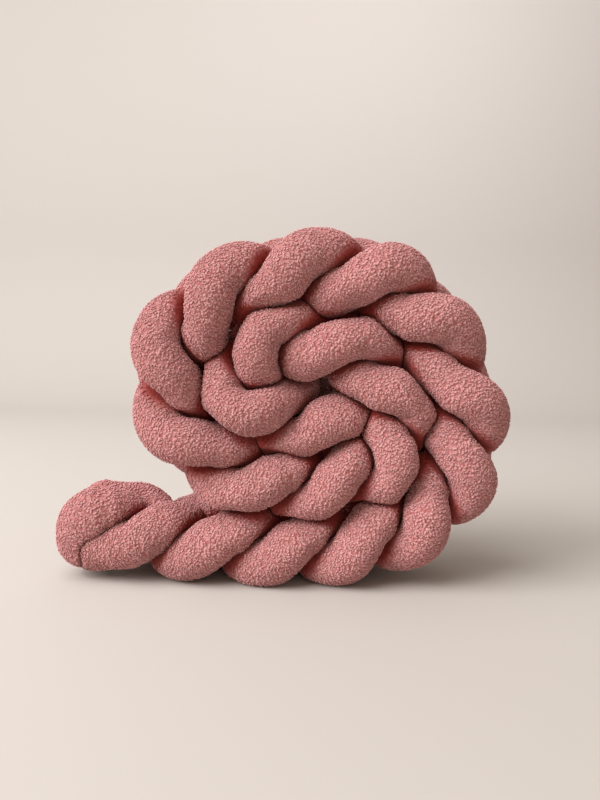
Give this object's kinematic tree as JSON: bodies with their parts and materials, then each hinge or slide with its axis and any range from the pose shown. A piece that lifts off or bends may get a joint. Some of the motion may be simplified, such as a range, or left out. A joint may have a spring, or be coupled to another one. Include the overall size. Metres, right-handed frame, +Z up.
{
  "type": "braided crib bumper",
  "caption": "Braided crib bumper of stuffed looped-pile fabric tubes, plaited flat and rolled into a spiral that stands on its edge, with a loose rounded tail on the floor.",
  "frame": {"origin": "on the floor under the middle of the rolled bumper's bounding box", "axes": "+X from the tail towards the far side of the roll, +Y along the roll's axis away from the near edge, +Z up"},
  "size_m": [0.5638, 0.1728, 0.4393],
  "materials": {
    "boucle": "matt dusty pink looped pile"
  },
  "bodies": {
    "root": {"stuffed_tube_1": "boucle", "stuffed_tube_2": "boucle", "stuffed_tube_3": "boucle"}
  },
  "joints": []
}
